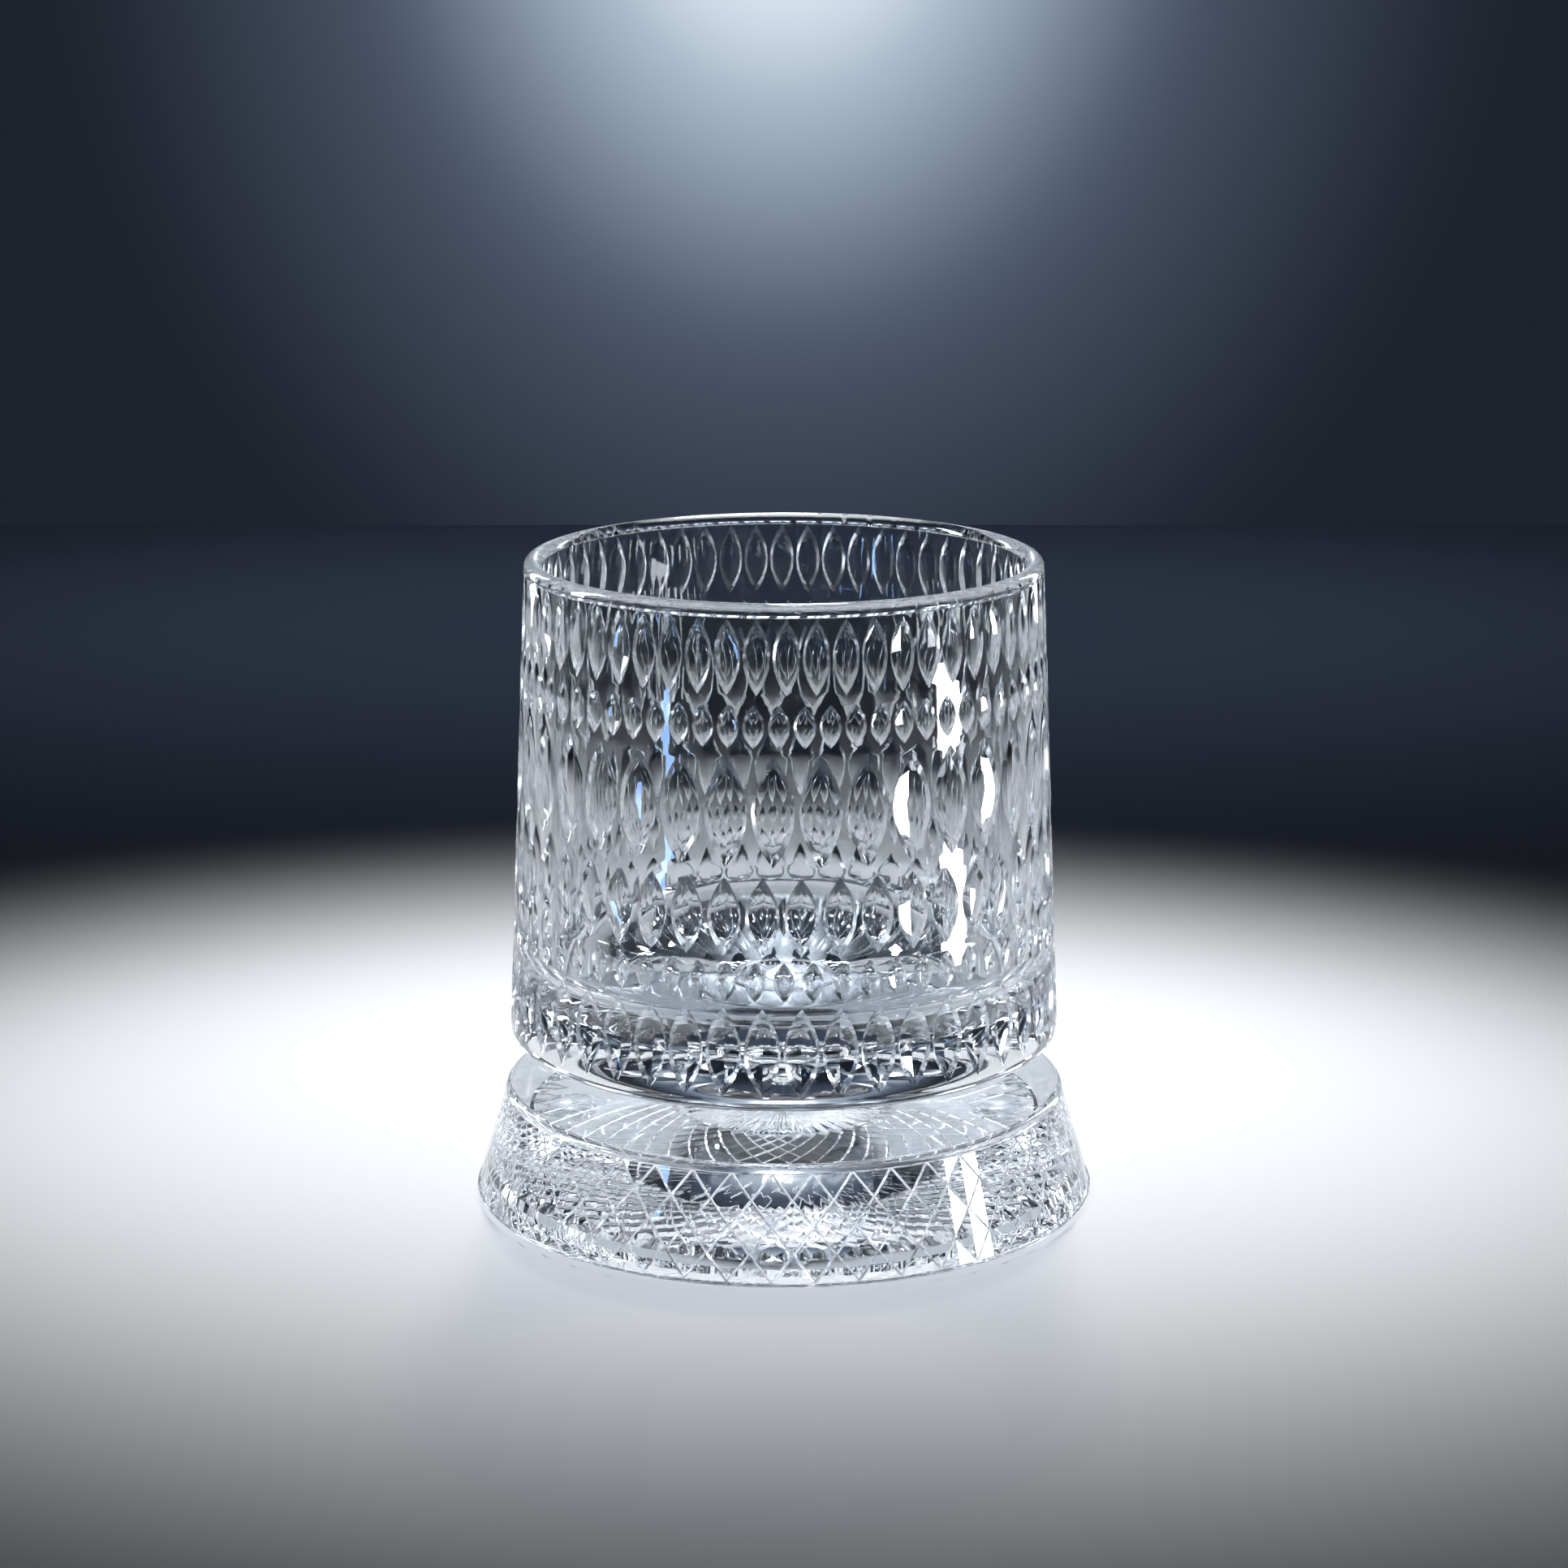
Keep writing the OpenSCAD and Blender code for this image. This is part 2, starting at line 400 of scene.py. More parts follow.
@dataclass(frozen=True)
class ClearPolymer:
    """Clear acrylic, polycarbonate, silicone or resin.

    The eye gets soft refraction with the faint haze of a turned or moulded surface, and
    fewer sparkles than crystal gives.
    """

    colour: str
    ior: float
    roughness: float
    haze: float = 0.03
    grain_mm: float = 0.6
    grain_depth_mm: float = 0.001
    shadow: str = "#FDFDFE"

    def material(self, name: str) -> bpy.types.Material:
        """Make the clear polymer's material.

        Args:
            name: name of the material.

        Returns:
            The material.
        """
        mat = bpy.data.materials.new(name)
        mat.use_nodes = True
        tree = mat.node_tree
        shader = tree.nodes["Principled BSDF"]
        place = add_node(tree, "ShaderNodeTexCoord")
        grain = add_node(
            tree,
            "ShaderNodeTexNoise",
            {"Vector": place.outputs["Object"], "Scale": 1 / (self.grain_mm * MM), "Detail": 3.0},
        )
        bump = add_node(
            tree,
            "ShaderNodeBump",
            {"Height": grain.outputs[0], "Distance": self.grain_depth_mm * MM, "Strength": 1.0},
        )
        rough = add_node(
            tree,
            "ShaderNodeMapRange",
            {"Value": grain.outputs[0], "To Min": self.roughness, "To Max": self.roughness + self.haze},
        )
        shader.inputs["Base Color"].default_value = linear(self.colour)
        shader.inputs["Transmission Weight"].default_value = 1.0
        shader.inputs["IOR"].default_value = self.ior
        tree.links.new(rough.outputs["Result"], shader.inputs["Roughness"])
        tree.links.new(bump.outputs["Normal"], shader.inputs["Normal"])
        let_lamps_through(tree, shader, self.shadow)
        return mat


@dataclass(frozen=True)
class MouldedPolymer:
    """Moulded silicone, nylon or cured resin: soft sheen, fine grain, some light through it."""

    colour: str
    roughness: float
    transmission: float = 0.0
    grain_mm: float = 0.35
    grain_depth_mm: float = 0.01
    cloud_mm: float = 5.0
    cloudiness: float = 0.92
    ior: float = 1.43

    def material(self, name: str) -> bpy.types.Material:
        """Make the polymer's material.

        Args:
            name: name of the material.

        Returns:
            The material.
        """
        mat = bpy.data.materials.new(name)
        mat.use_nodes = True
        tree = mat.node_tree
        shader = tree.nodes["Principled BSDF"]
        place = add_node(tree, "ShaderNodeTexCoord")
        grain = add_node(
            tree,
            "ShaderNodeTexNoise",
            {"Vector": place.outputs["Object"], "Scale": 1 / (self.grain_mm * MM), "Detail": 3.0},
        )
        clouds = add_node(
            tree,
            "ShaderNodeTexNoise",
            {"Vector": place.outputs["Object"], "Scale": 1 / (self.cloud_mm * MM), "Detail": 2.0},
        )
        duller = (*(self.cloudiness * c for c in linear(self.colour)[:3]), 1.0)
        shade = add_node(
            tree,
            "ShaderNodeMix",
            {"Factor": clouds.outputs[0], 6: duller, 7: linear(self.colour)},
            data_type="RGBA",
        )
        bump = add_node(
            tree,
            "ShaderNodeBump",
            {"Height": grain.outputs[0], "Distance": self.grain_depth_mm * MM, "Strength": 0.7},
        )
        shader.inputs["Roughness"].default_value = self.roughness
        shader.inputs["Transmission Weight"].default_value = self.transmission
        shader.inputs["IOR"].default_value = self.ior
        tree.links.new(shade.outputs[2], shader.inputs["Base Color"])
        tree.links.new(bump.outputs["Normal"], shader.inputs["Normal"])
        return mat


class Finish(Enum):
    """Every finish on the object, by the record's material slot."""

    CUT_CRYSTAL = ("cut_crystal", CutCrystal())
    STAND_CRYSTAL = ("stand_crystal", CutCrystal("#E6E9EB", ripple_mm=9.0, ripple_height_mm=0.008))
    CLEAR_SILICONE = ("clear_silicone", ClearPolymer("#F6F8F9", 1.41, 0.08, haze=0.06))
    CURED_ADHESIVE = ("cured_adhesive", ClearPolymer("#FBFBF6", 1.48, 0.05))
    PLATE_ACRYLIC = ("plate_acrylic", ClearPolymer("#FAFCFD", 1.49, 0.02))
    GROUND_STEEL = ("ground_steel", TurnedMetal("#D6D8DB", 0.22, ring_mm=0.15))
    RACE_POLYCARBONATE = ("race_polycarbonate", ClearPolymer("#F7FAFC", 1.585, 0.04))
    BALL_GLASS = ("ball_glass", CutCrystal("#F3F8F6", ripple_height_mm=0.0))
    CAGE_NYLON = ("cage_nylon", MouldedPolymer("#F1F0EA", 0.45, transmission=0.1, ior=1.53))
    HUB_ACRYLIC = ("hub_acrylic", ClearPolymer("#FBFDFD", 1.49, 0.0, haze=0.02))
    SPRING_STEEL = ("spring_steel", TurnedMetal("#85868B", 0.34))
    PAD_SILICONE = ("pad_silicone", ClearPolymer("#F6F8FA", 1.41, 0.10, haze=0.06))

    def material(self) -> bpy.types.Material:
        """The finish's material, made the first time it is asked for."""
        slot, recipe = self.value
        name = f"{slot}_finish"
        return bpy.data.materials.get(name) or recipe.material(name)

    def dress(self, piece: bpy.types.Object) -> None:
        """Give a piece this finish.

        Args:
            piece: the object to dress.
        """
        piece.data.materials.clear()
        piece.data.materials.append(self.material())


# ---------------------------------------------------------------- the cut glasses


@dataclass
class LensRow:
    """One row of lens-shaped cuts round the tumbler, sizes in mm.

    Attributes:
        middle: height of the cuts' middle above the tumbler's underside.
        length: length from tip to tip.
        width: width across the middle.
        depth: depth of the crease at the middle.
        count: number of cuts round the glass.
        first: angle of the first cut from the front, in degrees.
    """

    middle: float
    length: float
    width: float
    depth: float
    count: int
    first: float

    def low(self) -> float:
        """Height of the row's lower ring, a little below the tips."""
        return self.middle - self.length / 2 * LENS_MARGIN

    def high(self) -> float:
        """Height of the row's upper ring, a little above the tips."""
        return self.middle + self.length / 2 * LENS_MARGIN


@dataclass
class CutTumbler:
    """The tumbler: a leaning wall with six rows of lens cuts, a round lip and a solid base."""

    height: float = 77.6
    lip_r: float = 40.8
    base_r: float = 43.9
    wall: float = 2.8
    base_t: float = 11.6
    edge_r: float = 2.4
    corner_r: float = 5.0
    bowl_flare: float = 0.4
    recess_r: float = 10.5
    recess_h: float = 1.9
    hollow_reach: float = 0.80
    bevel_w: float = 0.40
    bevel_share: float = 0.50
    rows: list[LensRow] = field(
        default_factory=lambda: [
            LensRow(69.75, 11.5, 4.1, 0.75, 58, 0.5),
            LensRow(59.35, 6.5, 3.4, 0.60, 68, -1.0),
            LensRow(46.55, 17.0, 6.6, 1.00, 37, -2.2),
            LensRow(30.50, 12.0, 5.2, 0.90, 46, 3.5),
            LensRow(20.60, 6.0, 3.3, 0.60, 62, 0.0),
            LensRow(9.60, 13.8, 5.6, 1.00, 46, 3.5),
        ]
    )

    def wall_r(self, z: float) -> float:
        """Radius of the uncut outer wall at a height above the underside, in mm."""
        slope = (self.base_r - self.lip_r) / (self.height - self.wall / 2 - self.edge_r)
        return self.base_r - slope * (z - self.edge_r)

    def lens_levels(self, row: LensRow) -> list[float]:
        """Places along a cut, from -1 at its lower tip to 1 at its upper tip.

        Args:
            row: the row that the cut belongs to.

        Returns:
            The places, closer together towards the ends of the hollow.
        """
        steps = 8 if row.length > 8 else 6
        hollow = [-self.hollow_reach * math.cos(math.pi * i / steps) for i in range(steps + 1)]
        middle_of_tip = (1 + self.hollow_reach) / 2
        return [-LENS_MARGIN, -1.0, -middle_of_tip, *hollow, middle_of_tip, 1.0, LENS_MARGIN]

    def lens_section(self, row: LensRow, s: float) -> list[tuple[float, float]]:
        """Half a section across a cut: border, outline, hollow's edge, half way, crease.

        Args:
            row: the row that the cut belongs to.
            s: place along the cut, from -1 to 1.

        Returns:
            Distance from the cut's middle line and depth below the wall of each point, mm.
        """
        border = math.pi * self.wall_r(row.middle) / row.count
        rest = max(0.0, 1 - s * s)
        outline = row.width / 2 * rest
        bevel_depth = row.depth * self.bevel_share
        inside = 1 - (s / self.hollow_reach) ** 2
        if inside > 0:
            edge = (row.width / 2 - self.bevel_w) * inside
            crease = bevel_depth + (row.depth - bevel_depth) * inside**0.75
            hollow = bevel_depth
        else:
            edge = 0.0
            crease = bevel_depth * (1 - abs(s)) / (1 - self.hollow_reach) if abs(s) < 1 else 0.0
            hollow = crease
        half_way = hollow + (crease - hollow) * 0.62
        return [(border, 0.0), (outline, 0.0), (edge, hollow), (edge * 0.5, half_way), (0.0, crease)]

    def add_row(self, bm: bmesh.types.BMesh, row: LensRow) -> None:
        """Shape one cut from a grid and repeat it round the glass.

        Args:
            bm: mesh to add to.
            row: the row to make.
        """
        levels = self.lens_levels(row)
        half = 4
        across = 2 * half
        made = bmesh.ops.create_grid(bm, x_segments=across, y_segments=len(levels) - 1, size=0.5)["verts"]
        crisp = {1, 2, half, across - 2, across - 1}
        place = {}
        for vert in made:
            place[vert] = (round((vert.co.x + 0.5) * across), round((vert.co.y + 0.5) * (len(levels) - 1)))
        edges = {e for v in made for e in v.link_edges}
        for edge in edges:
            (col_a, lev_a), (col_b, lev_b) = (place[v] for v in edge.verts)
            inside = all(abs(levels[i]) <= 1 for i in (lev_a, lev_b))
            edge.smooth = not (col_a == col_b and col_a in crisp and inside)
        for vert, (col, lev) in place.items():
            s = levels[lev]
            z = row.middle + s * row.length / 2
            offset, depth = self.lens_section(row, s)[min(col, across - col)]
            side = -1 if col < half else 1
            angle = FRONT + math.radians(row.first) + side * offset / self.wall_r(row.middle)
            radius = self.wall_r(z) - depth
            vert.co = Vector((radius * math.cos(angle), radius * math.sin(angle), z)) * MM
        flank_columns = ({1, 2}, {across - 2, across - 1})
        for face in bm.faces:
            spots = [place[v] for v in face.verts]
            hollow = all(abs(levels[lev]) <= self.hollow_reach for _, lev in spots)
            on_flank = {col for col, _ in spots} in flank_columns
            face[bm.faces.layers.float[SATIN]] = float(hollow and on_flank)
        repeat_round(bm, row.count)

    def body_outline(self) -> Outline:
        """Outline of the glass from above the top row, over the lip and down to the floor."""
        lip = self.wall / 2
        bowl_r = self.lip_r - self.wall + self.bowl_flare
        top_ring = self.height - lip - 0.6
        return [
            (self.wall_r(top_ring), top_ring),
            *arc(self.lip_r - lip, self.height - lip, lip, 0, 180, 12),
            *arc(bowl_r - self.corner_r, self.base_t + self.corner_r, self.corner_r, 0, -90, 10),
            (0.0, self.base_t),
        ]

    def foot_outline(self) -> Outline:
        """Outline of the glass from under the bottom row to the middle of the underside."""
        return [
            *arc(self.base_r - self.edge_r, self.edge_r, self.edge_r, 0, -90, 8),
            (self.recess_r + 0.3, 0.0),
            (self.recess_r, 0.3),
            (self.recess_r, self.recess_h),
            (0.0, self.recess_h),
        ]

    def build(self) -> bpy.types.Object:
        """Build the tumbler's glass where the CAD node stands.

        Returns:
            The finished piece.
        """
        low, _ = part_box("tumbler")
        bm = bmesh.new()
        bm.faces.layers.float.new(SATIN)
        for row in self.rows:
            ring = bmesh.new()
            ring.faces.layers.float.new(SATIN)
            self.add_row(ring, row)
            join(bm, ring)
        bmesh.ops.remove_doubles(bm, verts=bm.verts, dist=2e-6)
        lathe(bm, self.body_outline(), steps=288)
        lathe(bm, self.foot_outline(), steps=288)
        bmesh.ops.remove_doubles(bm, verts=bm.verts, dist=2e-6)
        ordered = sorted(self.rows, key=lambda r: r.middle)
        lower = [self.edge_r, *(r.high() for r in ordered)]
        upper = [*(r.low() for r in ordered), self.height - self.wall / 2 - 0.6]
        for below, above in zip(lower, upper):
            bmesh.ops.bridge_loops(bm, edges=edges_at(bm, below) + edges_at(bm, above))
        bmesh.ops.translate(bm, verts=bm.verts, vec=(0, 0, low.z))
        piece = finished_object(bm, "tumbler_glass", sharp_angle=None)
        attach(piece, "tumbler")
        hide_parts("tumbler")
        Finish.CUT_CRYSTAL.dress(piece)
        return piece


@dataclass
class CutStand:
    """The stand: a flared block with crossed mitre cuts, a polished top and a bearing socket."""

    foot_r: float = 49.68
    top_r: float = 45.05
    edge_r: float = 1.6
    foot_round: float = 0.9
    cut_low: float = 1.3
    cut_top: float = 16.9
    diamonds: int = 46
    side_levels: int = 4
    first: float = -2.3
    mitre_w: float = 0.28
    mitre_depth: float = 0.25
    plateau_depth: float = 0.25
    point: float = 0.10
    socket_r: float = 14.0
    socket_h: float = 3.0
    punt_r: float = 40.0
    punt_h: float = 1.2
    foot_z: float = 0.4
    net_r: float = 39.0
    net_ratio: float = 0.91
    net_levels: int = 9
    net_border: float = 0.5
    net_w: float = 0.30
    net_depth: float = 0.35

    def side_r(self, z: float) -> float:
        """Radius of the uncut side at a height above the table, in mm."""
        slope = (self.foot_r - self.top_r) / (self.cut_top - self.cut_low)
        return self.foot_r - slope * (z - self.cut_low)

    def side_place(self, level: int) -> tuple[float, float]:
        """Radius and height of a crossing line of the side's cuts, at the bottom of the cuts."""
        z = self.cut_low + level * (self.cut_top - self.cut_low) / self.side_levels
        return self.side_r(z) - self.plateau_depth - self.mitre_depth, z

    def net_place(self, level: int) -> tuple[float, float]:
        """Radius and height of a crossing line of the underside's net, at the bottom of the cuts."""
        return self.net_r * self.net_ratio**level, self.foot_z + self.punt_h + self.net_depth

    def diamond_ring(
        self,
        level: int,
        place: Callable[[int], tuple[float, float]],
        outwards: Vector,
        cut: tuple[float, float],
        point: float,
    ) -> bmesh.types.BMesh:
        """Make one diamond between four mitre cuts and repeat it round the stand.

        Args:
            level: which crossing line the diamonds' middles lie on.
            place: gives the radius and height of a crossing line.
            outwards: way that the cut surface faces at the front.
            cut: half the width and the depth of a mitre cut, in mm.
            point: height of the diamond's point above its rim, in mm, or 0 for a flat one.

        Returns:
            The ring of diamonds.
        """
        bm = bmesh.new()
        bm.faces.layers.float.new(SATIN)
        half_pitch = math.pi / self.diamonds
        centre = FRONT + math.radians(self.first) + (half_pitch if level % 2 == 0 else 0.0)
        bmesh.ops.create_circle(bm, cap_ends=True, radius=1.0, segments=4)
        for vert in bm.verts:
            across, along = round(vert.co.x), round(vert.co.y)
            angle = centre + across * half_pitch
            radius, z = place(level + along)
            vert.co = Vector((radius * math.cos(angle), radius * math.sin(angle), z)) * MM
        face = bm.faces[:][0]
        face.normal_update()
        if face.normal.dot(outwards) < 0:
            face.normal_flip()
            face.normal_update()
        half_width, depth = cut
        made = bmesh.ops.inset_individual(bm, faces=[face], thickness=half_width * MM, depth=depth * MM)
        for flank in made["faces"]:
            flank[bm.faces.layers.float[SATIN]] = 1.0
        if point:
            bmesh.ops.poke(bm, faces=[face], offset=point * MM, center_mode="MEAN")
        repeat_round(bm, self.diamonds)
        return bm

    def add_net(self, bm: bmesh.types.BMesh) -> None:
        """Close the recessed underside with its net of shallow crossing cuts.

        Args:
            bm: the stand's mesh, open inside the rim of the recess.
        """
        net = bmesh.new()
        net.faces.layers.float.new(SATIN)
        cut = (self.net_w, self.net_depth)
        for level in range(1, self.net_levels):
            join(net, self.diamond_ring(level, self.net_place, Vector((0, 0, -1)), cut, 0.0))
        bmesh.ops.remove_doubles(net, verts=net.verts, dist=2e-6)
        join(bm, net)
        inner_r, groove_z = self.net_place(self.net_levels)
        punt_z = self.foot_z + self.punt_h
        lathe(bm, [(inner_r - self.net_border, punt_z), (0.0, punt_z)], steps=2 * self.diamonds)
        middle_r = (inner_r + self.net_r) / 2
        for reach in ({"outer": middle_r}, {"inner": middle_r}):
            edges = edges_at(bm, punt_z, 0.005, **reach) + edges_at(bm, groove_z, 0.005, **reach)
            bmesh.ops.bridge_loops(bm, edges=edges)

    def trim(self, bm: bmesh.types.BMesh, height: float, keep_above: bool) -> None:
        """Cut the ring of diamonds off level.

        Args:
            bm: mesh to cut.
            height: height of the cut, in mm.
            keep_above: whether the part above it stays.
        """
        bmesh.ops.bisect_plane(
            bm,
            geom=[*bm.verts, *bm.edges, *bm.faces],
            dist=1e-7,
            plane_co=(0, 0, height * MM),
            plane_no=(0, 0, -1 if keep_above else 1),
            clear_outer=True,
        )

    def top_outline(self, stand_h: float) -> Outline:
        """Outline from above the cuts, over the rounded edge and polished top, into the socket."""
        lean = math.degrees(math.atan((self.foot_r - self.top_r) / (self.cut_top - self.cut_low)))
        return [
            *arc(self.top_r - self.edge_r, stand_h - self.edge_r, self.edge_r, lean, 90, 8),
            (self.socket_r + 0.2, stand_h),
            (self.socket_r, stand_h - 0.2),
            (self.socket_r, stand_h - self.socket_h),
            (0.0, stand_h - self.socket_h),
        ]

    def foot_outline(self) -> Outline:
        """Outline from under the cuts, round the foot, to the rim of the recessed underside."""
        return [
            *arc(self.foot_r - self.foot_round, self.foot_z + self.foot_round, self.foot_round, -5, -90, 5),
            (self.punt_r + self.punt_h / 2, self.foot_z),
            (self.punt_r, self.foot_z + self.punt_h),
        ]

    def build(self) -> bpy.types.Object:
        """Build the stand's glass where the CAD node stands.

        Returns:
            The finished piece.
        """
        _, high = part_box("stand")
        stand_h = high.z / MM
        bm = bmesh.new()
        bm.faces.layers.float.new(SATIN)
        cut = (self.mitre_w, self.mitre_depth)
        for level in range(self.side_levels + 1):
            join(bm, self.diamond_ring(level, self.side_place, Vector((0, -1, 0)), cut, self.point))
        bmesh.ops.remove_doubles(bm, verts=bm.verts, dist=2e-6)
        self.trim(bm, self.cut_low, keep_above=True)
        self.trim(bm, self.cut_top, keep_above=False)
        for edge in bm.edges:
            edge.smooth = False
        foot, top = self.foot_outline(), self.top_outline(stand_h)
        lathe(bm, foot, steps=4 * self.diamonds)
        lathe(bm, top, steps=4 * self.diamonds)
        for below, above in ((foot[0][1], self.cut_low), (self.cut_top, top[0][1])):
            bmesh.ops.bridge_loops(bm, edges=edges_at(bm, below, 0.005) + edges_at(bm, above, 0.005))
        self.add_net(bm)
        for edge in bm.edges:
            if edge.calc_face_angle(0.0) > math.radians(25):
                edge.smooth = False
        piece = finished_object(bm, "stand_glass", sharp_angle=None)
        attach(piece, "stand")
        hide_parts("stand")
        Finish.STAND_CRYSTAL.dress(piece)
        return piece


# ---------------------------------------------------------------- turning gear


def turned_piece(
    name: str, node: str, body: str, outline: Outline, finish: Finish, closed: bool, edge: float
) -> bpy.types.Object:
    """Turn one part, break its edges and put it in place of its CAD node.

    Args:
        name: name of the piece.
        node: CAD node that it stands for.
        body: body that it rides on.
        outline: radius and height of each point, in mm.
        finish: its finish.
        closed: whether the outline closes on itself, as a ring's does.
        edge: width of the broken edges, in mm.

    Returns:
        The finished piece.
    """
    bm = bmesh.new()
    lathe(bm, outline, closed=closed)
    soften(bm, edge)
    piece = finished_object(bm, name)
    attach(piece, body)
    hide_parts(node)
    finish.dress(piece)
    return piece


@dataclass
class PivotFixings:
    """What is fixed in the stand's socket: adhesive film, plate with its boss, pin and clip."""

    plate_r: float = 13.4
    boss_r: float = 6.45
    pin_r: float = 2.0
    neck: float = 0.4
    tip: float = 0.2

    def build_film(self) -> bpy.types.Object:
        """Build the film of adhesive between the socket's floor and the plate."""
        low, high = (corner.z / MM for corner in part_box("bond_film"))
        outline = [(0.0, low + HAIR), (self.plate_r - 0.3, low + HAIR), (self.plate_r - 0.3, high - HAIR)]
        outline.append((0.0, high - HAIR))
        return turned_piece(
            "adhesive_film", "bond_film", "stand", outline, Finish.CURED_ADHESIVE, closed=False, edge=0.04
        )

    def build_plate(self) -> bpy.types.Object:
        """Build the plate, whose boss centres the lower race."""
        low, high = (corner.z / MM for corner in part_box("base_plate"))
        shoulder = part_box("lower_race")[0].z / MM - HAIR
        outline = [
            (self.pin_r + HAIR, low),
            (self.plate_r, low),
            (self.plate_r, shoulder),
            (self.boss_r, shoulder),
            (self.boss_r, high),
            (self.pin_r + HAIR, high),
        ]
        return turned_piece(
            "socket_plate", "base_plate", "stand", outline, Finish.PLATE_ACRYLIC, closed=True, edge=0.12
        )

    def build_pin(self) -> bpy.types.Object:
        """Build the pin with the groove that the clip sits in."""
        low, high = (corner.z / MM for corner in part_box("pivot_pin"))
        groove_low, groove_high = (corner.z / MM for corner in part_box("retaining_clip"))
        outline = [
            (0.0, low + HAIR),
            (self.pin_r, low + HAIR),
            (self.pin_r, groove_low - HAIR),
            (self.pin_r - self.neck, groove_low - HAIR),
            (self.pin_r - self.neck, groove_high + HAIR),
            (self.pin_r, groove_high + HAIR),
            (self.pin_r, high - self.tip),
            (self.pin_r - self.tip, high),
            (0.0, high),
        ]
        return turned_piece(
            "pivot_pin_ground", "pivot_pin", "stand", outline, Finish.GROUND_STEEL, closed=False, edge=0.05
        )

    def build(self) -> None:
        """Build the film, plate and pin, and finish the clip."""
        self.build_film()
        self.build_plate()
        self.build_pin()
        Finish.SPRING_STEEL.dress(bpy.data.objects["retaining_clip"])


@dataclass
class ThrustBearing:
    """Two grooved race washers with a caged ring of balls between them."""

    inner_r: float = 6.5
    outer_r: float = 12.8
    circle_r: float = 9.5
    groove_r: float = 1.55
    groove_h: float = 0.4
    ball_r: float = 1.5
    ball_count: int = 12

    def build_race(self, node: str, body: str, groove_up: bool) -> bpy.types.Object:
        """Build one race washer.

        Args:
            node: its CAD node.
            body: body that it rides on.
            groove_up: whether the ball groove is in its top face.

        Returns:
            The finished piece.
        """
        low, high = (corner.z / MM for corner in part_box(node))
        face, back, up = (high, low, 1) if groove_up else (low, high, -1)
        reach = math.degrees(math.acos((self.groove_r - self.groove_h) / self.groove_r))
        centre = face + up * (self.groove_r - self.groove_h)
        groove = arc(self.circle_r, centre, self.groove_r, -up * (90 - reach), -up * (90 + reach), 10)
        outline = [
            (self.inner_r, back),
            (self.outer_r, back),
            (self.outer_r, face),
            *groove,
            (self.inner_r, face),
        ]
        return turned_piece(
            f"{node}_washer", node, body, outline, Finish.RACE_POLYCARBONATE, closed=True, edge=0.15
        )

    def build_balls(self) -> bpy.types.Object:
        """Build the ring of balls."""
        low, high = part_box("bearing_balls")
        bm = bmesh.new()
        bmesh.ops.create_uvsphere(bm, u_segments=24, v_segments=16, radius=self.ball_r * MM)
        bmesh.ops.translate(bm, verts=bm.verts, vec=(self.circle_r * MM, 0, (low.z + high.z) / 2))
        repeat_round(bm, self.ball_count)
        piece = finished_object(bm, "ball_ring")
        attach(piece, "ball_set")
        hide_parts("bearing_balls")
        Finish.BALL_GLASS.dress(piece)
        return piece

    def build(self) -> None:
        """Build the races and balls, and finish the cage."""
        self.build_race("lower_race", "stand", groove_up=True)
        self.build_race("upper_race", "turntable", groove_up=False)
        self.build_balls()
        Finish.CAGE_NYLON.dress(bpy.data.objects["ball_cage"])


@dataclass
class Turntable:
    """The clear hub that covers the bearing, and the soft pad that the tumbler stands on."""

    bore_r: float = 2.05
    spigot_r: float = 6.45
    spigot_h: float = 1.0
    skirt_in_r: float = 13.4
    skirt_r: float = 14.6
    flange_r: float = 16.0
    flange_h: float = 1.2
    well_r: float = 5.0
    well_depth: float = 1.4
    pad_r: float = 15.6
    boss_r: float = 10.0

    def build_hub(self) -> bpy.types.Object:
        """Build the hub: flange, skirt, spigot for the upper race and well for the clip."""
        skirt_low, top = (corner.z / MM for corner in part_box("turntable_hub"))
        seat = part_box("upper_race")[1].z / MM + HAIR
        outline = [
            (self.bore_r, seat - self.spigot_h),
            (self.spigot_r, seat - self.spigot_h),
            (self.spigot_r, seat),
            (self.skirt_in_r, seat),
            (self.skirt_in_r, skirt_low),
            (self.skirt_r, skirt_low),
            (self.skirt_r, top - self.flange_h),
            (self.flange_r, top - self.flange_h),
            (self.flange_r, top),
            (self.well_r, top),
            (self.well_r, top - self.well_depth),
            (self.bore_r, top - self.well_depth),
        ]
        return turned_piece(
            "hub_cup", "turntable_hub", "turntable", outline, Finish.HUB_ACRYLIC, closed=True, edge=0.2
        )

    def build_pad(self) -> bpy.types.Object:
        """Build the pad, whose boss centres the tumbler."""
        low, high = (corner.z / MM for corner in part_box("seat_pad"))
        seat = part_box("tumbler")[0].z / MM - HAIR
        outline = [
            (0.0, low + HAIR),
            (self.pad_r, low + HAIR),
            (self.pad_r, seat),
            (self.boss_r, seat),
            (self.boss_r, high),
            (0.0, high),
        ]
        return turned_piece(
            "tumbler_pad", "seat_pad", "turntable", outline, Finish.PAD_SILICONE, closed=False, edge=0.25
        )

    def build(self) -> None:
        """Build the hub and its pad."""
        self.build_hub()
        self.build_pad()


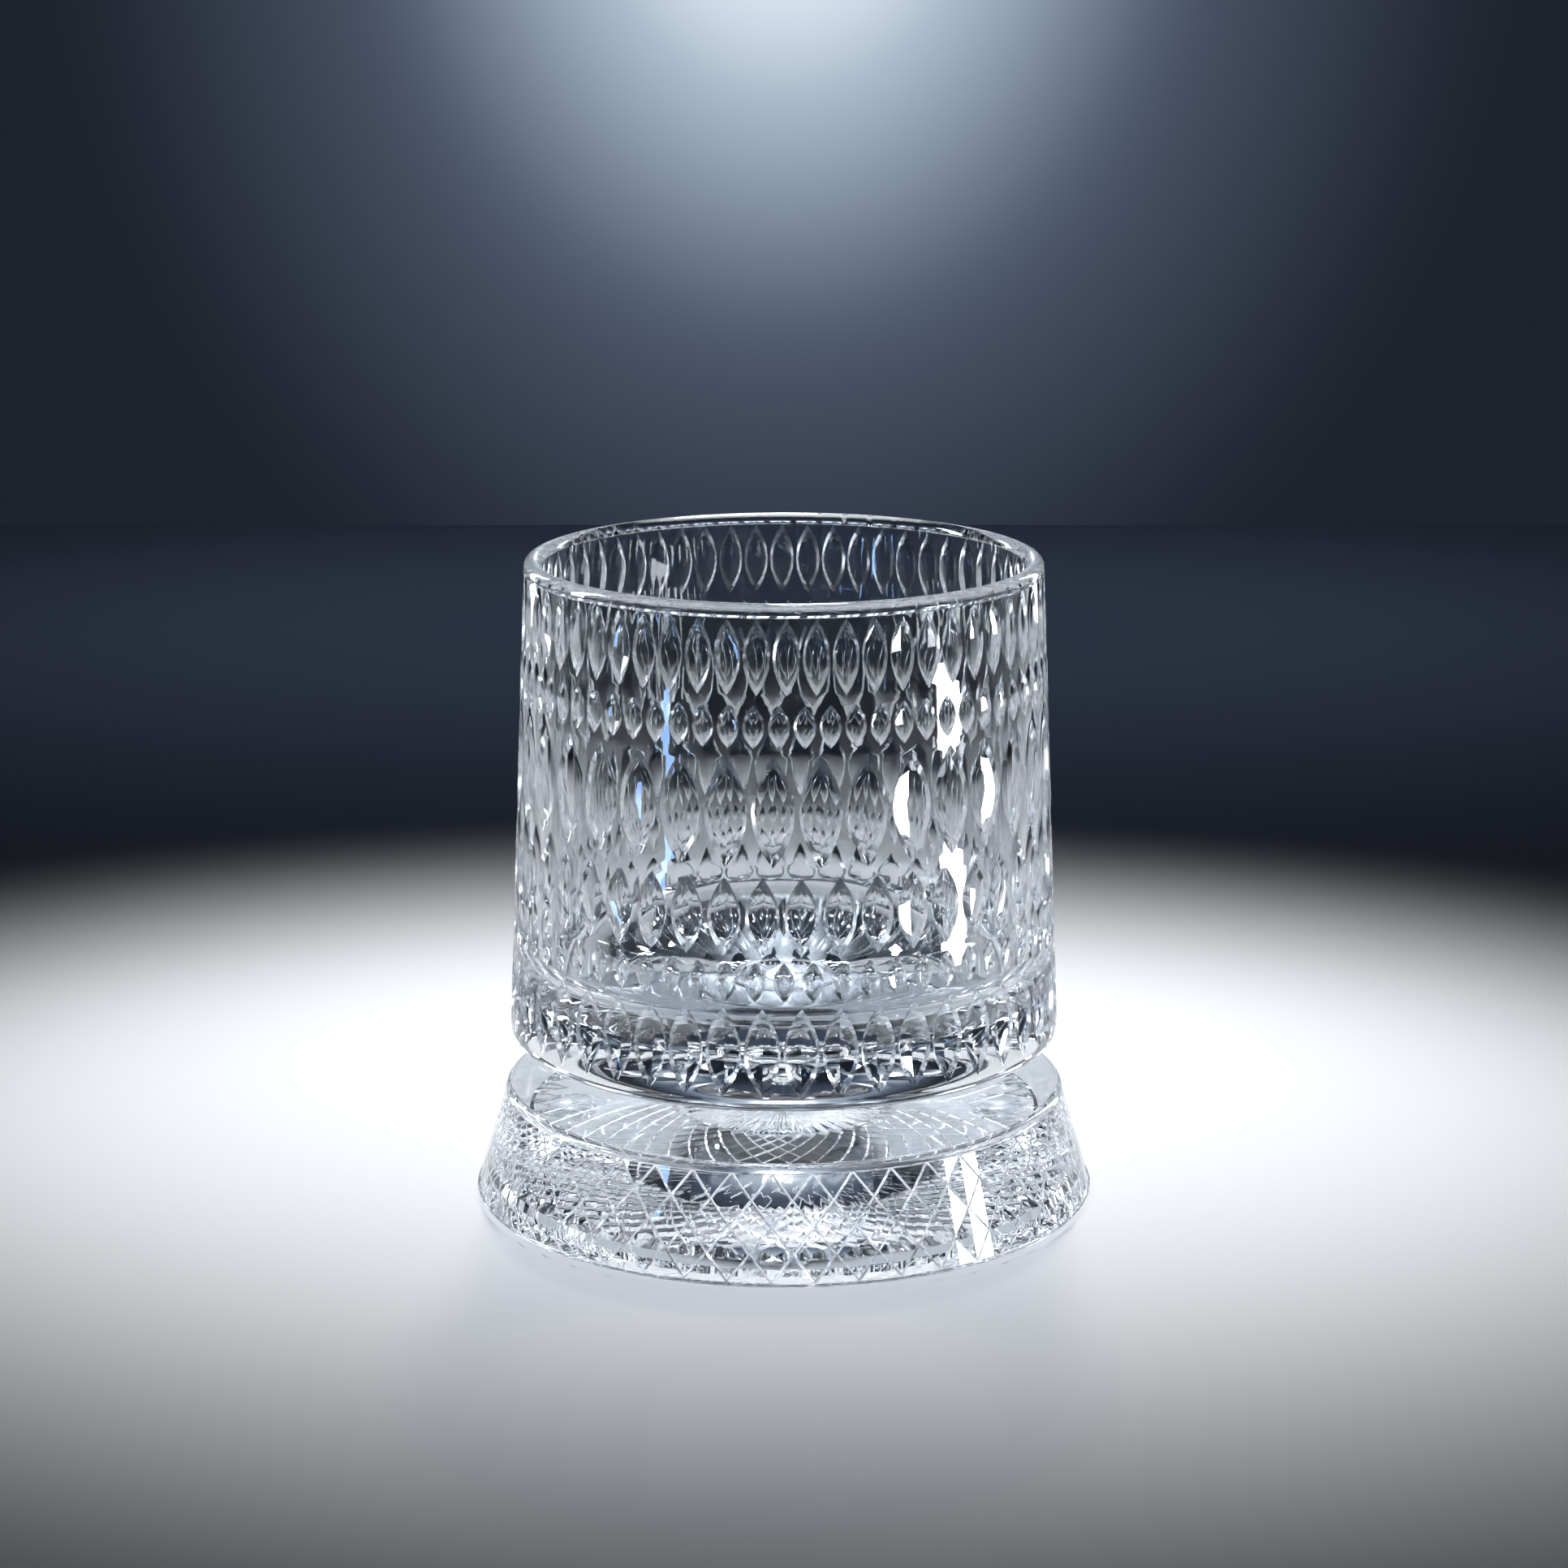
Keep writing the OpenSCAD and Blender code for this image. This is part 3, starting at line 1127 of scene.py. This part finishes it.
@dataclass
class AntiSlipFeet:
    """Four soft feet pressed into the recess under the stand."""

    radius: float = 4.0
    circle_r: float = 34.0
    count: int = 4

    def build(self) -> bpy.types.Object:
        """Build one foot and repeat it.

        Returns:
            The finished piece.
        """
        low, high = (corner.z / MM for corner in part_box("anti_slip_feet"))
        bm = bmesh.new()
        top = high - HAIR
        lathe(bm, [(0.0, low), (self.radius, low), (self.radius, top), (0.0, top)], steps=48)
        soften(bm, 0.15)
        bmesh.ops.translate(bm, verts=bm.verts, vec=(self.circle_r * MM, 0, 0))
        repeat_round(bm, self.count)
        piece = finished_object(bm, "soft_feet")
        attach(piece, "stand")
        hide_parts("anti_slip_feet")
        Finish.CLEAR_SILICONE.dress(piece)
        return piece


# ---------------------------------------------------------------- studio


@dataclass(frozen=True)
class Studio:
    """Pale table under a soft pool of light, a dark graded backdrop, strip lights, camera."""

    lens: float = 90.0
    pitch: float = 13.7
    distance: float = 0.623
    aim_z: float = 0.0667
    wall_y: float = 0.62
    wall_w: float = 5.0
    glow_z: float = 0.215
    glow_w: float = 0.235
    glow_h: float = 0.29
    glow_core: float = 8.0
    pool_stretch: float = 1.7

    def camera(self) -> None:
        """Set the camera up at the viewing angle."""
        data = bpy.data.cameras.new("camera")
        data.lens = self.lens
        data.sensor_width = 36.0
        eye = bpy.data.objects.new("camera", data)
        pitch = math.radians(self.pitch)
        eye.location = (0, -self.distance * math.cos(pitch), self.aim_z + self.distance * math.sin(pitch))
        eye.rotation_euler = (math.pi / 2 - pitch, 0, 0)
        bpy.context.scene.collection.objects.link(eye)
        bpy.context.scene.camera = eye

    def surface(self, name: str, colour: str, roughness: float) -> bpy.types.Material:
        """Material of a stage surface: matt card with a faint tooth.

        Args:
            name: name of the material.
            colour: its colour.
            roughness: its roughness.

        Returns:
            The material.
        """
        mat = bpy.data.materials.new(name)
        mat.use_nodes = True
        shader = mat.node_tree.nodes["Principled BSDF"]
        shader.inputs["Base Color"].default_value = linear(colour)
        shader.inputs["Roughness"].default_value = roughness
        shader.inputs["Specular IOR Level"].default_value = 0.0
        return mat

    def floor(self) -> None:
        """Lay the pale table."""
        bm = bmesh.new()
        bmesh.ops.create_circle(bm, cap_ends=True, radius=3.0, segments=96)
        bmesh.ops.translate(bm, verts=bm.verts, vec=(0, 0, -HAIR * MM))
        floor = finished_object(bm, "floor")
        floor.data.materials.append(self.surface("pale_card", "#F3F4F5", 0.55))

    def backdrop(self) -> None:
        """Hang the backdrop, dark with a soft glow high behind the glass."""
        bm = bmesh.new()
        bmesh.ops.create_grid(bm, x_segments=1, y_segments=1, size=self.wall_w / 2)
        bmesh.ops.rotate(bm, verts=bm.verts, matrix=Matrix.Rotation(math.pi / 2, 3, "X"))
        bmesh.ops.translate(bm, verts=bm.verts, vec=(0, self.wall_y, 0))
        wall = finished_object(bm, "backdrop")
        mat = bpy.data.materials.new("backdrop_glow")
        mat.use_nodes = True
        tree = mat.node_tree
        tree.nodes.clear()
        place = add_node(tree, "ShaderNodeTexCoord")
        wide, tall = self.glow_w, self.glow_h
        centred = add_node(
            tree,
            "ShaderNodeMapping",
            {
                "Vector": place.outputs["Object"],
                "Location": (0, -self.wall_y / tall, -self.glow_z / tall),
                "Scale": (1 / wide, 1 / tall, 1 / tall),
            },
        )
        glow = add_node(
            tree, "ShaderNodeTexGradient", {"Vector": centred.outputs[0]}, gradient_type="SPHERICAL"
        )
        ramp = add_node(tree, "ShaderNodeValToRGB", {"Fac": glow.outputs["Fac"]})
        ramp.color_ramp.interpolation = "B_SPLINE"
        stops = (
            (0.0, "#1B2029"),
            (0.18, "#292F3B"),
            (0.38, "#424B5C"),
            (0.53, "#566176"),
            (0.72, "#A9BBCD"),
            (0.85, "#E4EEF8"),
        )
        while len(ramp.color_ramp.elements) < len(stops):
            ramp.color_ramp.elements.new(0.5)
        for element, (place_on_ramp, colour) in zip(ramp.color_ramp.elements, stops):
            element.position = place_on_ramp
            element.color = linear(colour)
        core = add_node(
            tree,
            "ShaderNodeMapRange",
            {"Value": glow.outputs["Fac"], "From Min": 0.82, "To Min": 1.0, "To Max": self.glow_core},
            interpolation_type="SMOOTHSTEP",
        )
        light = add_node(
            tree, "ShaderNodeEmission", {"Color": ramp.outputs["Color"], "Strength": core.outputs["Result"]}
        )
        add_node(tree, "ShaderNodeOutputMaterial", {"Surface": light.outputs[0]})
        wall.data.materials.append(mat)
        wall.visible_diffuse = False

    def strip(self, name: str, place: tuple, aim: tuple, size: tuple, power: float, colour: str) -> None:
        """Place a rectangular light that shows in the glass but doesn't light the table.

        Args:
            name: name of the light.
            place: where it stands, in metres.
            aim: the point that it faces.
            size: width and height in metres.
            power: power in watts.
            colour: its colour.
        """
        data = bpy.data.lights.new(name, "AREA")
        data.shape = "RECTANGLE"
        data.size, data.size_y = size
        data.energy = power
        data.color = linear(colour)[:3]
        lamp = bpy.data.objects.new(name, data)
        lamp.location = place
        lamp.rotation_euler = (Vector(aim) - Vector(place)).to_track_quat("-Z", "Y").to_euler()
        lamp.visible_camera = False
        lamp.visible_diffuse = False
        bpy.context.scene.collection.objects.link(lamp)

    def spot(
        self, name: str, place: tuple, aim: tuple, power: float, cone: float, size: float, colour: str
    ) -> None:
        """Place a soft-edged spot light.

        Args:
            name: name of the light.
            place: where it stands, in metres.
            aim: the point that it faces.
            power: power in watts.
            cone: full angle of its cone, in degrees.
            size: radius of its lamp, in metres.
            colour: its colour.
        """
        data = bpy.data.lights.new(name, "SPOT")
        data.energy = power
        data.spot_size = math.radians(cone)
        data.spot_blend = 1.0
        data.shadow_soft_size = size
        data.color = linear(colour)[:3]
        lamp = bpy.data.objects.new(name, data)
        lamp.location = place
        lamp.rotation_euler = (Vector(aim) - Vector(place)).to_track_quat("-Z", "Y").to_euler()
        lamp.scale = (self.pool_stretch, 1.0, 1.0)
        lamp.visible_camera = False
        bpy.context.scene.collection.objects.link(lamp)

    def lights(self) -> None:
        """Hang the key spot and the strips, and set the dim surroundings."""
        self.spot("key_spot", (0.03, 0.50, 0.62), (0, 0.040, 0), 37.0, 21.4, 0.05, "#FAFBFF")
        self.spot("fill_spot", (0.0, 0.50, 0.90), (0, 0.46, 0), 2.0, 31.0, 0.10, "#9BB3E0")
        self.strip("right_strip", (0.215, -0.085, 0.034), (0, 0, 0.034), (0.046, 0.062), 0.62, "#F4F8FF")
        self.strip("blue_edge", (-0.22, -0.20, 0.035), (0, 0, 0.035), (0.012, 0.06), 0.05, "#8FBCFF")
        self.strip("left_strip", (-0.36, 0.04, 0.20), (0, 0, 0.08), (0.06, 0.30), 1.6, "#E8F1FF")
        for side in (-1, 1):
            self.strip(f"rim_{side}", (0.34 * side, 0.40, 0.16), (0, 0, 0.08), (0.06, 0.34), 0.8, "#EAF2FF")
        world = bpy.data.worlds.new("dim_studio")
        world.use_nodes = True
        world.node_tree.nodes["Background"].inputs["Color"].default_value = linear("#15181F")
        world.node_tree.nodes["Background"].inputs["Strength"].default_value = 1.0
        bpy.context.scene.world = world

    def build(self) -> None:
        """Set up the whole studio."""
        self.camera()
        self.floor()
        self.backdrop()
        self.lights()
        scene = bpy.context.scene
        scene.cycles.max_bounces = 32
        scene.cycles.transmission_bounces = 32
        scene.cycles.glossy_bounces = 16
        scene.cycles.caustics_refractive = False
        scene.view_settings.view_transform = "Standard"


def main() -> None:
    """Build the object and the studio in order."""
    logging.basicConfig(level=logging.INFO, format="%(message)s")
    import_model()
    Studio().build()
    CutStand().build()
    AntiSlipFeet().build()
    PivotFixings().build()
    ThrustBearing().build()
    Turntable().build()
    CutTumbler().build()


if __name__ == "__main__":
    main()
